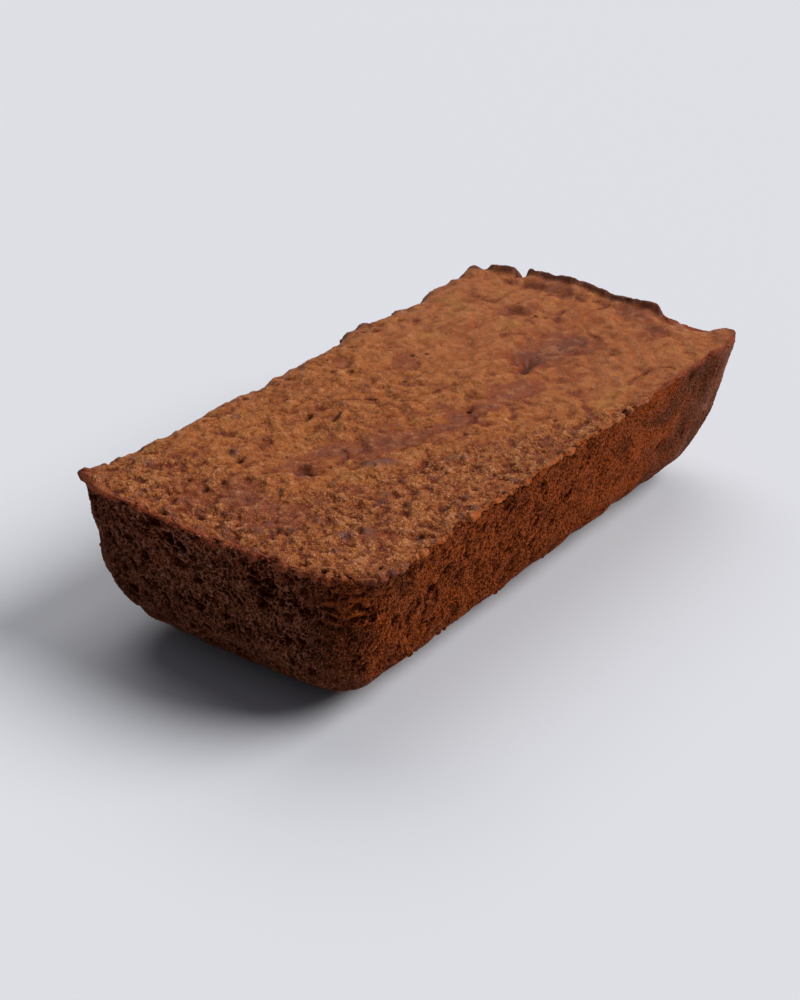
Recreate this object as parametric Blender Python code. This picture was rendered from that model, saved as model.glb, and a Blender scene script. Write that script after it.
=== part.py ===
"""Banana bread: one uncut loaf, turned out of its tin.

The loaf is one solid. Its long side lies along X and its flat base on z = 0, with the origin at
the middle of the base. Near means towards -X or -Y, and far towards +X or +Y. The near end has a
small ear of crust at its +Y corner, and the far end a raised lip of crust, broken by a notch.
Metres, +Z up.
"""

import math

import bmesh
import bpy
import numpy as np
from mathutils import Vector, noise

NAME = "banana_bread"

# The tin's shape, which the loaf took: the rim, the slope of the walls, the rounded underside.
RIM_LENGTH = 0.220
RIM_WIDTH = 0.1138
RIM_HEIGHT = 0.0541
END_SLOPE = math.radians(7.1)
SIDE_SLOPE = math.radians(12.7)
END_UNDERCURVE = 0.0234  # radius of the curve from the end walls into the base
SIDE_UNDERCURVE = 0.0205
RIM_CORNER = 0.0171  # radius of the corners seen from above
BASE_CORNER = 0.0158
CORNER_TUCK = 0.25  # how much of the undercurve the corner's radius loses on its way down
CORNER_FULLNESS = 0.0056  # the corners' radius is this much smaller at half height
END_BOW = 0.0012  # the end walls swell this much at their middle

# The grid that the loaf is moulded from.
LONG_STEPS = 62
WIDE_STEPS = 32
EDGE_CROWDING = 0.15  # 0 for even steps, more for finer steps near the rim
EDGE_BAND = 0.14  # the outer share of the top that moves with the wall below it
WALL_STEPS = 9
UNDERCURVE_STEPS = 6

# The lip of crust that runs round the rim.
LIP_INSET = 0.0010  # the top's edge lies this far inside the lip
LIP_OVERHANG = 0.0009
LIP_DEPTH = 0.0010  # from the top's edge down to the lip's widest line
LIP_FADE = 0.0022

# The top: its crown, the far shoulder that rounds off, and the sag of the near end's rim.
CROWN = 0.0014
FAR_SHOULDER_DROP = 0.0048
FAR_SHOULDER_REACH = 0.013
FAR_END_DROP = 0.0022
FAR_END_REACH = 0.020
NEAR_END_SAG = 0.0008
NEAR_END_SAG_PLACE = (-RIM_LENGTH / 2, 0.0050)
NEAR_END_SAG_REACH = 0.018
NEAR_SIDE_RIDGE = 0.0007
NEAR_SIDE_RIDGE_WIDTH = 0.0030

# Ears, flakes and stumps of crust on the rim: place (x, y), reach, rise and push outwards.
# The near corner has sunk instead, and bulges.
RIM_PIECES = {
    "ear": ((-0.1060, 0.0525), 0.0054, 0.0040, 0.0009),
    "far_corner": ((0.1035, 0.0540), 0.0044, 0.0032, 0.0006),
    "blunt_corner": ((0.1060, -0.0510), 0.0070, 0.0036, 0.0026),
    "side_flake_a": ((0.0285, 0.0565), 0.0038, 0.0020, 0.0006),
    "side_flake_b": ((0.0370, 0.0565), 0.0046, 0.0022, 0.0006),
    "side_flake_c": ((0.0590, 0.0565), 0.0034, 0.0014, 0.0004),
    "near_corner": ((-0.1010, -0.0545), 0.0070, -0.0008, 0.0018),
}

# Long runs of raised crust: start, end, half width, rise.
CRUST_RUNS = {
    "end_lip": ((0.1092, 0.0320), (0.1092, -0.0210), 0.0021, 0.0034),
    "end_flake": ((0.1092, 0.0390), (0.1070, 0.0477), 0.0021, 0.0031),
    "far_side_crust": ((0.0760, 0.0560), (0.1010, 0.0560), 0.0036, 0.0018),
}

# Smooth mounds of the top: start, end, half width, rise.
MOUNDS = {
    "near_mound": ((-0.0859, 0.0209), (-0.0717, 0.0000), 0.0050, 0.0008),
    "moist_mound": ((-0.0500, -0.0130), (-0.0460, -0.0160), 0.0036, 0.0009),
    "end_ramp": ((0.1052, 0.0300), (0.1052, -0.0190), 0.0036, 0.0016),
}

# Hollows of the top: start, end, half width, depth.
HOLLOWS = {
    "end_groove": ((0.0992, 0.0290), (0.0980, 0.0080), 0.0022, 0.0009),
    "notch": ((0.1100, 0.0356), (0.1075, 0.0356), 0.0018, 0.0026),
    "end_dip": ((0.1095, -0.0290), (0.1090, -0.0390), 0.0055, 0.0016),
    "long_hollow_a": ((-0.0546, 0.0087), (-0.0126, -0.0145), 0.0085, 0.0015),
    "long_hollow_b": ((0.0008, -0.0155), (0.0351, -0.0261), 0.0060, 0.0013),
    "basin": ((0.0500, -0.0110), (0.0660, -0.0120), 0.0100, 0.0021),
    "fold_a": ((0.0323, -0.0140), (0.0458, -0.0087), 0.0026, 0.0016),
    "fold_b": ((0.0935, -0.0232), (0.0905, -0.0340), 0.0028, 0.0014),
    "fold_c": ((0.0700, 0.0210), (0.0740, 0.0130), 0.0028, 0.0012),
    "pit_a": ((-0.0354, 0.0229), (-0.0354, 0.0229), 0.0026, 0.0016),
    "pit_b": ((-0.0641, 0.0030), (-0.0666, -0.0016), 0.0027, 0.0020),
    "pit_c": ((-0.0714, 0.0207), (-0.0714, 0.0207), 0.0022, 0.0014),
}

# The crack across the top, from the far side to the middle.
CRACK = [
    (0.0068, 0.0408),
    (-0.0009, 0.0330),
    (-0.0033, 0.0272),
    (-0.0048, 0.0175),
    (-0.0096, 0.0068),
    (-0.0164, -0.0039),
]
CRACK_WIDTH = 0.0026
CRACK_DEPTH = 0.0014
CRACK_SHOULDER = 0.0070  # the crust beside the crack stands up a little over this width
CRACK_RISE = 0.0008

# Unevenness: broad swells on the top, and smaller lumps on every wall.
SWELL_SPAN = 0.030
SWELL_HEIGHT = 0.0016
RIPPLE_SPAN = 0.009
RIPPLE_HEIGHT = 0.0009
WALL_LUMP_SPAN = 0.0085
WALL_LUMP_HEIGHT = 0.0013
CALM_FOOT = 0.0060  # the walls' unevenness dies away this close to the base

# The wrinkles on the vertical corner towards -X and -Y, where the batter sagged in the tin.
WRINKLE_PLACE = (-0.1000, -0.0470)
WRINKLE_REACH = 0.0140
WRINKLE_SPACING = 0.0052
WRINKLE_DEPTH = 0.0009
WRINKLE_FROM = 0.0280
WRINKLE_TO = 0.0520

# Holes on the wall towards -X, under the ear: place (y, z), reach, depth.
WALL_HOLES = [
    ((0.0400, 0.0390), 0.0036, 0.0022),
    ((0.0330, 0.0230), 0.0032, 0.0016),
    ((-0.0140, 0.0190), 0.0036, 0.0014),
]

CRUST_BROWN = (0.150, 0.052, 0.020)
CRUST_ROUGHNESS = 0.62


def run_distance(x, y, start, end):
    """How far a place lies from the straight run between two others."""
    run_x, run_y = end[0] - start[0], end[1] - start[1]
    length = run_x**2 + run_y**2
    along = ((x - start[0]) * run_x + (y - start[1]) * run_y) / length if length else 0.0
    along = np.clip(along, 0.0, 1.0)
    return np.hypot(x - start[0] - along * run_x, y - start[1] - along * run_y)


def swell(distance, reach):
    """1 where the distance is nothing, fading softly to 0 past the reach."""
    return np.exp(-((distance / reach) ** 2))


def grain(x, y, z, span, shift):
    """Smooth unevenness between -1 and 1, whose lumps are about a span wide."""
    places = zip(x / span, y / span, z / span, strict=True)
    return np.array([noise.noise(Vector(place) + Vector((shift, 0.0, 0.0))) for place in places])


def undercurve_inset(z, radius):
    """How far the curve into the base has gone in at height z."""
    below = np.clip(radius - z, 0.0, radius)
    return radius - np.sqrt(radius**2 - below**2)


def section_place(u, v, z):
    """Where the grid place (u, v), each from -1 to 1, lies in the loaf's section at height z."""
    end_curve = undercurve_inset(z, END_UNDERCURVE)
    side_curve = undercurve_inset(z, SIDE_UNDERCURVE)
    half_length = RIM_LENGTH / 2 - (RIM_HEIGHT - z) * math.tan(END_SLOPE) - end_curve
    half_width = RIM_WIDTH / 2 - (RIM_HEIGHT - z) * math.tan(SIDE_SLOPE) - side_curve
    radius = BASE_CORNER + (RIM_CORNER - BASE_CORNER) * z / RIM_HEIGHT
    radius -= CORNER_TUCK * (end_curve + side_curve)
    radius -= CORNER_FULLNESS * 4 * np.clip(z / RIM_HEIGHT * (1 - z / RIM_HEIGHT), 0.0, 1.0)
    x, y = half_length * u, half_width * v
    core_x, core_y = half_length - radius, half_width - radius
    p = np.clip((np.abs(x) - core_x) / radius, 0.0, 1.0)
    q = np.clip((np.abs(y) - core_y) / radius, 0.0, 1.0)
    round_x = np.minimum(np.abs(x), core_x) + radius * p * np.sqrt(1 - q**2 / 2)
    round_y = np.minimum(np.abs(y), core_y) + radius * q * np.sqrt(1 - p**2 / 2)
    bow = END_BOW * (1 - v**2) * np.abs(u) ** 3
    return np.sign(x) * (round_x + bow), np.sign(y) * round_y


def crack_distance(x, y):
    runs = zip(CRACK[:-1], CRACK[1:], strict=True)
    return np.min([run_distance(x, y, start, end) for start, end in runs], axis=0)


def top_height(x, y):
    """The height of the top crust over a place of the plan."""
    half_length, half_width = RIM_LENGTH / 2, RIM_WIDTH / 2
    crown = (1 - (x / half_length) ** 2) * (1 - (y / half_width) ** 2)
    z = RIM_HEIGHT + CROWN * np.clip(crown, 0.0, 1.0)
    z -= FAR_SHOULDER_DROP * np.clip(1 - (half_width - y) / FAR_SHOULDER_REACH, 0.0, 1.0) ** 2
    z -= FAR_END_DROP * np.clip(1 - (half_length - x) / FAR_END_REACH, 0.0, 1.0)
    sag = run_distance(x, y, NEAR_END_SAG_PLACE, NEAR_END_SAG_PLACE)
    z -= NEAR_END_SAG * swell(sag, NEAR_END_SAG_REACH)
    z += NEAR_SIDE_RIDGE * swell(y + half_width, NEAR_SIDE_RIDGE_WIDTH)
    for start, end, reach, rise in [*CRUST_RUNS.values(), *MOUNDS.values()]:
        z += rise * swell(run_distance(x, y, start, end), reach)
    for start, end, reach, depth in HOLLOWS.values():
        z -= depth * swell(run_distance(x, y, start, end), reach)
    for place, reach, rise, _ in RIM_PIECES.values():
        z += rise * swell(run_distance(x, y, place, place), reach)
    crack = crack_distance(x, y)
    z += CRACK_RISE * swell(crack, CRACK_SHOULDER) - CRACK_DEPTH * swell(crack, CRACK_WIDTH)
    flat = np.zeros_like(x)
    z += SWELL_HEIGHT * grain(x, y, flat, SWELL_SPAN, 3.0)
    z += RIPPLE_HEIGHT * grain(x, y, flat, RIPPLE_SPAN, 7.0)
    return z


def push_out(x, y, depth):
    """How far the rim's pieces and the lip push the wall outwards, this deep below the top."""
    lip = LIP_OVERHANG * swell(depth - LIP_DEPTH, LIP_FADE)
    inset = LIP_INSET * np.clip(1 - depth / LIP_DEPTH, 0.0, 1.0)
    ears = np.zeros_like(x)
    for place, reach, rise, push in RIM_PIECES.values():
        ears += push * swell(run_distance(x, y, place, place), reach) * swell(depth, rise + reach)
    return lip - inset + ears


def wall_relief(x, y, z):
    """The lumps, wrinkles and holes of the walls, outwards from the smooth wall."""
    relief = WALL_LUMP_HEIGHT * grain(x, y, z, WALL_LUMP_SPAN, 11.0)
    above = np.clip((z - WRINKLE_FROM) / WRINKLE_SPACING, 0.0, 1.0)
    below = np.clip((WRINKLE_TO - z) / WRINKLE_SPACING, 0.0, 1.0)
    corner = swell(run_distance(x, y, WRINKLE_PLACE, WRINKLE_PLACE), WRINKLE_REACH)
    wave = np.cos(2 * math.pi * (z - WRINKLE_FROM) / WRINKLE_SPACING)
    relief -= WRINKLE_DEPTH * corner * above * below * (0.5 - 0.5 * wave)
    for (hole_y, hole_z), reach, depth in WALL_HOLES:
        hole = swell(np.hypot(y - hole_y, z - hole_z), reach)
        relief -= depth * hole * (x < -RIM_LENGTH / 4)
    return relief * np.clip(z / CALM_FOOT, 0.0, 1.0)


def wall_heights():
    """The heights of the grid's rings, from the lip down to the base, on a rim of even height."""
    lip = RIM_HEIGHT - LIP_DEPTH
    wall = np.linspace(lip, END_UNDERCURVE, WALL_STEPS)
    angles = np.linspace(0.0, math.pi / 2, UNDERCURVE_STEPS + 1)[1:]
    return [*wall, *(END_UNDERCURVE * (1 - np.sin(angles)))]


def mould(grid_places, heights):
    """Turns grid places (u, v, -ring) into places on the loaf."""
    u, v, ring = grid_places[:, 0], grid_places[:, 1], -grid_places[:, 2]
    u = u * (1 + EDGE_CROWDING * (1 - u**2))
    v = v * (1 + EDGE_CROWDING * (1 - v**2))
    level = np.array([RIM_HEIGHT, *heights])[np.round(ring).astype(int)]
    rim_x, rim_y = section_place(u, v, np.full_like(u, RIM_HEIGHT))
    edge = top_height(rim_x, rim_y)
    z = edge * level / RIM_HEIGHT
    x, y = section_place(u, v, z)

    on_edge = np.clip((np.maximum(np.abs(u), np.abs(v)) - 1 + EDGE_BAND) / EDGE_BAND, 0.0, 1.0)
    core_x = np.clip(x, RIM_CORNER - RIM_LENGTH / 2, RIM_LENGTH / 2 - RIM_CORNER)
    core_y = np.clip(y, RIM_CORNER - RIM_WIDTH / 2, RIM_WIDTH / 2 - RIM_CORNER)
    out_x, out_y = x - core_x, y - core_y
    size = np.maximum(np.hypot(out_x, out_y), 1e-9)
    push = on_edge**2 * (push_out(rim_x, rim_y, edge - z) + wall_relief(x, y, z))
    return np.column_stack([x + out_x / size * push, y + out_y / size * push, z])


def make_loaf():
    heights = wall_heights()
    form = bmesh.new()
    bmesh.ops.create_grid(form, x_segments=LONG_STEPS, y_segments=WIDE_STEPS, size=1.0)
    ring = [edge for edge in form.edges if edge.is_boundary]
    for _ in heights:
        made = bmesh.ops.extrude_edge_only(form, edges=ring)["geom"]
        corners = [item for item in made if isinstance(item, bmesh.types.BMVert)]
        ring = [item for item in made if isinstance(item, bmesh.types.BMEdge) and item.is_boundary]
        bmesh.ops.translate(form, verts=corners, vec=(0.0, 0.0, -1.0))
    bmesh.ops.holes_fill(form, edges=ring, sides=len(ring))

    places = mould(np.array([corner.co[:] for corner in form.verts]), heights)
    for corner, place in zip(form.verts, places, strict=True):
        corner.co = place
    bmesh.ops.triangulate(form, faces=form.faces)
    bmesh.ops.recalc_face_normals(form, faces=form.faces)

    mesh = bpy.data.meshes.new("loaf")
    form.to_mesh(mesh)
    form.free()
    mesh.shade_smooth()
    return bpy.data.objects.new("loaf", mesh)


def crust_material():
    """Dark baked crust, a little moist."""
    material = bpy.data.materials.new("baked_crust")
    material.use_nodes = True
    shader = material.node_tree.nodes["Principled BSDF"]
    shader.inputs["Base Color"].default_value = (*CRUST_BROWN, 1.0)
    shader.inputs["Roughness"].default_value = CRUST_ROUGHNESS
    shader.inputs["Metallic"].default_value = 0.0
    return material


def main():
    for item in list(bpy.data.objects):
        bpy.data.objects.remove(item)
    collection = bpy.data.collections.new(NAME)
    bpy.context.scene.collection.children.link(collection)
    loaf = make_loaf()
    loaf.data.materials.append(crust_material())
    collection.objects.link(loaf)


main()
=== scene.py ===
"""Banana bread: the crust, crumb and crumbs of one uncut loaf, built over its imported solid.

The loaf's long side lies along X and its base on z = 0. Near means towards -X or -Y, and far
towards +X or +Y. Metres.
"""

import math

import bmesh
import bpy
import numpy as np
from mathutils import Matrix, Vector, noise


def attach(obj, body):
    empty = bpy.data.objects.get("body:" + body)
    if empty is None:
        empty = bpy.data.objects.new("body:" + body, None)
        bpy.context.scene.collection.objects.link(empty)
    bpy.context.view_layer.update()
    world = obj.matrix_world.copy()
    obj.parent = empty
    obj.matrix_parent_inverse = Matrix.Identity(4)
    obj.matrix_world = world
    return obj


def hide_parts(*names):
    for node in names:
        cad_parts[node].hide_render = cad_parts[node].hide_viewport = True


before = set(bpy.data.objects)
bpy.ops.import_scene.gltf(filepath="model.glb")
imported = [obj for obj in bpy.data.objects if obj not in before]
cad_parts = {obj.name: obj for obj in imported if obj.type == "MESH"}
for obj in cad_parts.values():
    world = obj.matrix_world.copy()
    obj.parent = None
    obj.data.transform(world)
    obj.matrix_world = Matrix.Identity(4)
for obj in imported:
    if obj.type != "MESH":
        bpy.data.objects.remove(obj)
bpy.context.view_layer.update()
MM = 0.001
LOT_SCALE = 7.31  # spreads the bubbles' middles, so that each draws a number of its own

# ---------------- the loaf's form, as in its solid

RIM_LENGTH = 0.220
RIM_WIDTH = 0.1138
RIM_HEIGHT = 0.0541
END_SLOPE = math.radians(7.1)
SIDE_SLOPE = math.radians(12.7)
END_UNDERCURVE = 0.0234
SIDE_UNDERCURVE = 0.0205
RIM_CORNER = 0.0171
BASE_CORNER = 0.0158
CORNER_TUCK = 0.25
CORNER_FULLNESS = 0.0056
END_BOW = 0.0012

LIP_INSET = 0.0010
LIP_OVERHANG = 0.0009
LIP_DEPTH = 0.0010
LIP_FADE = 0.0022

CROWN = 0.0014
FAR_SHOULDER_DROP = 0.0048
FAR_SHOULDER_REACH = 0.013
FAR_END_DROP = 0.0022
FAR_END_REACH = 0.020
NEAR_END_SAG = 0.0008
NEAR_END_SAG_PLACE = (-RIM_LENGTH / 2, 0.0050)
NEAR_END_SAG_REACH = 0.018
NEAR_SIDE_RIDGE = 0.0007
NEAR_SIDE_RIDGE_WIDTH = 0.0030

# Ears, flakes and stumps of crust on the rim: place (x, y), reach, rise, push outwards, and how
# dark they have baked.
RIM_PIECES = {
    "ear": ((-0.106, 0.0525), 0.0054, 0.004, 0.0009, 0.55),
    "far_corner": ((0.1035, 0.054), 0.0044, 0.0032, 0.0006, 0.9),
    "blunt_corner": ((0.106, -0.051), 0.007, 0.0036, 0.0026, 0.15),
    "side_flake_a": ((0.0285, 0.0565), 0.0038, 0.002, 0.0006, 0.9),
    "side_flake_b": ((0.037, 0.0565), 0.0046, 0.0022, 0.0006, 0.9),
    "side_flake_c": ((0.059, 0.0565), 0.0034, 0.0014, 0.0004, 0.8),
    "near_corner": ((-0.101, -0.0545), 0.007, -0.0008, 0.0018, 0.45),
}

# Long runs of raised crust: start, end, half width, rise, and how dark they have baked. Where the dark
# reaches past a run it stands for painted shade, as beside the end lip.
CRUST_RUNS = {
    "end_lip": ((0.1092, 0.032), (0.1092, -0.021), 0.0021, 0.0034, 1.0),
    "end_flake": ((0.1092, 0.039), (0.107, 0.0477), 0.0021, 0.0031, 0.9),
    "far_side_crust": ((0.076, 0.056), (0.101, 0.056), 0.0036, 0.0018, 0.4),
}

# Smooth mounds of the top: start, end, half width, rise. In such a table, a single place has no end.
MOUNDS = {
    "near_mound": ((-0.0859, 0.0209), (-0.0717, 0.0), 0.005, 0.0008),
    "moist_mound": ((-0.05, -0.013), (-0.046, -0.016), 0.0036, 0.0009),
    "end_ramp": ((0.1052, 0.03), (0.1052, -0.019), 0.0036, 0.0016),
}

# Hollows of the top: start, end, half width, depth.
HOLLOWS = {
    "end_groove": ((0.0992, 0.029), (0.098, 0.008), 0.0022, 0.0009),
    "notch": ((0.11, 0.0356), (0.1075, 0.0356), 0.0018, 0.0026),
    "end_dip": ((0.1095, -0.029), (0.109, -0.039), 0.0055, 0.0016),
    "long_hollow_a": ((-0.0546, 0.0087), (-0.0126, -0.0145), 0.0085, 0.0015),
    "long_hollow_b": ((0.0008, -0.0155), (0.0351, -0.0261), 0.006, 0.0013),
    "basin": ((0.05, -0.011), (0.066, -0.012), 0.01, 0.0021),
    "fold_a": ((0.0323, -0.014), (0.0458, -0.0087), 0.0026, 0.0016),
    "fold_b": ((0.0935, -0.0232), (0.0905, -0.034), 0.0028, 0.0014),
    "fold_c": ((0.07, 0.021), (0.074, 0.013), 0.0028, 0.0012),
    "pit_a": ((-0.0354, 0.0229), None, 0.0026, 0.0016),
    "pit_b": ((-0.0641, 0.003), (-0.0666, -0.0016), 0.0027, 0.002),
    "pit_c": ((-0.0714, 0.0207), None, 0.0022, 0.0014),
}

CRACK = [
    (0.0068, 0.0408), (-0.0009, 0.033), (-0.0033, 0.0272),
    (-0.0048, 0.0175), (-0.0096, 0.0068), (-0.0164, -0.0039),
]
CRACK_WIDTH = 0.0026
CRACK_DEPTH = 0.0014
CRACK_SHOULDER = 0.0070
CRACK_RISE = 0.0008

SWELL_SPAN = 0.030
SWELL_HEIGHT = 0.0016
RIPPLE_SPAN = 0.009
RIPPLE_HEIGHT = 0.0009
WALL_LUMP_SPAN = 0.0085
WALL_LUMP_HEIGHT = 0.0013
CALM_FOOT = 0.0060

WRINKLE_PLACE = (-0.1000, -0.0470)
WRINKLE_REACH = 0.0140
WRINKLE_SPACING = 0.0052
WRINKLE_DEPTH = 0.0009
WRINKLE_FROM = 0.0280
WRINKLE_TO = 0.0520

# Holes on the wall of the near end: place (y, z), reach, depth.
WALL_HOLES = [
    ((0.04, 0.039), 0.0036, 0.0022),
    ((0.033, 0.023), 0.0032, 0.0016),
    ((-0.014, 0.019), 0.0036, 0.0014),
]

# ---------------- the fine relief that only looks

TOP_EDGE_BAND = 0.05  # the outer share of the top that moves with the lip
LIP_BAND = 1.2 * MM  # how far the top crust reaches down over the walls
LIP_BAND_LEAST = 0.7 * MM
LIP_TUCK = 2.0 * MM  # how far its lower edge curls in behind the crumb
LIP_RINGS = 7
LIP_WANDER = 0.8 * MM  # how far the rim strays in and out
WALL_TUCK = 0.5 * MM  # the crumb's upper edge lies this far inside the lip
EAR_PLACE = RIM_PIECES["ear"][0]  # the ear ends in a blunt knob
EAR_REACH = 6.0 * MM
EAR_KNOB = 1.5 * MM
EAR_KNOB_DEPTH = 1.7 * MM
EAR_NECK = 0.9
EAR_PUSH_CALM = 0.4
EAR_CALM = 0.85
INNER_FLAG = -99.0  # marks the point inside the loaf to which each grid is closed
INNER_PLACE = (0.0, 0.0, RIM_HEIGHT / 2)

TOP_COLUMNS, TOP_ROWS = 290, 298  # of each half of the top
BASE_COLUMNS, BASE_ROWS = 150, 60

# The crumb round the walls, from the far corner of the near end, along that end, the near side,
# the far end and the far side: where each piece starts, in metres along the rim, and its columns
# and rows.
WALL_PIECES = {
    "near_end_crumb_left": (-0.022, 358, 262),
    "near_end_crumb_right": (0.055, 358, 262),
    "near_side_crumb_left": (0.132, 236, 236),
    "near_side_crumb_middle": (0.19, 236, 236),
    "near_side_crumb_right": (0.248, 320, 200),
    "far_end_crumb": (0.345, 300, 150),
    "far_side_crumb": (0.47, 400, 150),
}

NEAR_END_BAND = (0.090, 0.106)  # from where to where towards -X the near end's wall takes over
UNDERCURVE_ROWS = 0.42  # the share of a wall's rows that go to its curve into the base
WALL_TOP_DROP = 0.4 * LIP_BAND_LEAST
UNDER_LIP_BAND = (0.4 * LIP_BAND, 1.2 * LIP_BAND)
CALM_BASE = 2.5 * MM  # the bubbles fade out this close to the base
BASE_EDGE = 0.96

BUBBLE_SPAN = 1.05 * MM  # the crumb's common bubbles
BUBBLE_DEPTH = 0.80 * MM
BUBBLE_RAG = 0.16
BUBBLE_STRAY = 0.45 * BUBBLE_SPAN
BUBBLE_STRAY_SPAN = 1.6 * BUBBLE_SPAN
BUBBLE_STRETCH = 1.35  # bubbles rise as they bake, so they stand taller than wide
SIDE_STRETCH = 0.55  # and taller still on the long sides
END_LEAN = 0.60  # on the near end they lean outwards too, towards its far corner
BUBBLE_LEAN = 0.55  # and on the long sides they lean as they rise
CAVE_SPAN = 2.7 * MM  # the larger bubbles among them, most of all on the near end
CAVE_DEPTH = 1.1 * MM
CAVE_RAG = 0.10
CAVE_SHARE = 0.12
NEAR_END_CAVES = 0.28
# How much painted light the skins between the bubbles get: at least this, and more on the near end.
RIDGE_LEAST = 0.30  # the skins that stand between the bubbles
NEAR_END_RIDGES = 0.70
RIDGE_CAVES = 0.7  # how much of a skin a cave takes away
SEAM_LAP = 0.8 * MM  # how far each piece dips under its neighbour past the line where they meet
SEAM_SINK = 0.5 * MM
TORN_SPAN = 3.6 * MM  # places where the crumb tore away with the tin
TORN_DEPTH = 0.4 * MM
RAG_SPAN = 0.60 * MM
RAG_HEIGHT = 0.22 * MM
OPEN_SPAN = 9 * MM  # the crumb is closer in some places, and more open in others
CLOSE_DEPTH = 0.7
OPEN_DEPTH = 0.3
FAR_CALM = 0.50  # it is closer towards the far end

# How much painted shade darkens the bubbles, caves, torn places and grooves, and how much the raised
# rags take away.
BUBBLE_PIT = 0.85
CAVE_PIT = 0.45
TORN_PIT = 0.15
RAG_PIT = 0.30
GROOVE_PIT = 0.7

# How orange the crumb is, and how much less orange and darker it is on the near end past a slanting
# line by its near corner, towards the far end and round the small ledges.
WARMTH = 0.75
WARMTH_CHANGE = 0.5
WARMTH_SPAN = 13 * MM
END_COOL = 0.75
COOL_LINE = (-0.054, -0.036)
COOL_SLANT = 0.8
COOL_LEVEL = 0.030
FAR_COOL = 0.50
LEDGE_COOL = 0.35
LEDGE_COOL_REACH = 0.028

# How far the walls' tone follows the rim: in part everywhere, and in full on the near end.
BELOW_RIM_LEAST = 0.3
BELOW_RIM_NEAR_END = 0.7
GREY_BAND = (-0.010, 0.110)  # the walls turn greyer towards the far end, most on the near side
GREY_CALM = 0.7

# Loose crumbs on the walls: distance along the rim, level, radius.
CLINGING_CRUMBS = [
    (0.15, 0.005, 1.1 * MM),
    (0.152, 0.0066, 0.7 * MM),
    (0.166, 0.0054, 1.0 * MM),
    (0.1672, 0.008, 0.6 * MM),
    (0.202, 0.0056, 1.3 * MM),
    (0.204, 0.0072, 0.9 * MM),
    (0.205, 0.005, 0.8 * MM),
    (0.2, 0.0086, 0.6 * MM),
    (0.234, 0.0056, 0.8 * MM),
    (0.276, 0.006, 0.7 * MM),
    (-0.004, 0.04, 0.6 * MM),
    (-0.002, 0.029, 0.6 * MM),
    (0.56, 0.007, 0.9 * MM),
    (0.39, 0.008, 0.8 * MM),
]
CLINGING_GRAIN = [(0.9, 1.3 * MM, 91.0), (0.35, 0.5 * MM, 93.0)]
CLINGING_WARMTH = 0.7

LEDGE_PLACE = (-0.1060, -0.0500)  # small ledges below the near corner
LEDGE_REACH = 0.0120
LEDGE_SPACING = 3.6 * MM
LEDGE_DEPTH = 2.3 * MM
LEDGE_MIDDLE = 0.0430
LEDGE_HALF_HEIGHT = 0.0090
LEDGE_BENDS = [(3.4 * MM, 8 * MM, 45.0), (0.8 * MM, 2.6 * MM, 43.0)]
LEDGE_BREAK_SPAN = 5 * MM
LEDGE_SHARPNESS = 1.5
LEDGE_CALM = 0.45

CURD_SPAN = 4.4 * MM  # the top's small swells
CURD_HEIGHT = 0.75 * MM
CREASE_SPAN = 15 * MM  # and the creases where it split or folded as it rose
CREASE_DEPTH = 0.45 * MM
CREASE_BEND = 0.5 * CURD_SPAN
CREASE_WIDTH = 0.14
CLUMP_SPAN = 4.2 * MM  # the crumbly part's clumps
CLUMP_HEIGHT = 1.0 * MM
CLUMP_BAND = (-0.02, 0.30)
CLUMP_BEND = 0.35 * CURD_SPAN
CLUMP_LEAST = 0.2
CRUMB_SPAN = 1.80 * MM  # and the small crumbs that the top is grained with
CRUMB_HEIGHT = 0.52 * MM
CRUMB_BAND = (0.0, 0.34)
CRUMB_LEAST = 0.25
GRIT_SPAN = 0.90 * MM
GRIT_HEIGHT = 0.17 * MM
CRUMB_BEND = 0.5 * GRIT_SPAN
CRUMBLE_STRENGTH = 0.6
CRUMBLE_MIDDLE = 0.4
# Pits of the top, sunk and darkened with painted shade.
TOP_PIT_SPAN = 3.6 * MM
TOP_PIT_DEPTH = 0.60 * MM
TOP_PIT_BAND = (-0.40, -0.10)  # inwards to a pit's middle
TOP_PIT_SHARE = 0.13
RIM_PIT_SHARE = 0.45
LUMP_SPAN = 4.8 * MM  # moist lumps of banana just under the crust
LUMP_RISE = 1.20 * MM
LUMP_SHARE = 0.42
LUMP_BAND = (-0.50, -0.15)
LUMP_FULLNESS = 0.6
SPOT_BEND = 0.3 * CURD_SPAN
RUBBLE_SLANT = 0.42  # the crumbly part of the top narrows along the near side
RUBBLE_FROM = 0.040
RUBBLE_LEAST = 0.26
RUBBLE_HALF = 0.34
RUBBLE_CALM = 0.40  # it is less crumbly where it is moist

# How pale or dark the crumbs, the grit, the clumps, the swells and the creases are: partly their own
# tone, and partly painted light on what is raised and painted shade in gaps and creases.
EVEN_TONE = 0.5
CRUMB_TONE = 0.65
GRIT_TONE = 0.28
CLUMP_TONE = 0.85
CURD_TONE = 0.3
CREASE_TONE = 0.35

DAPPLE_SPAN = 12 * MM  # the soft patches of moister and drier crust
DAPPLES = [(1.1, DAPPLE_SPAN, 81.0), (0.7, 0.4 * DAPPLE_SPAN, 83.0)]
CRACK_DAMP = 0.8
DAMP_HOLLOW = 0.0020  # a hollow this deep gets the moist purple in full, there painted shade
DAMP_REACH = 1.2
WET_LUMPS = 0.20
WET_DAMP = 0.08

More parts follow.
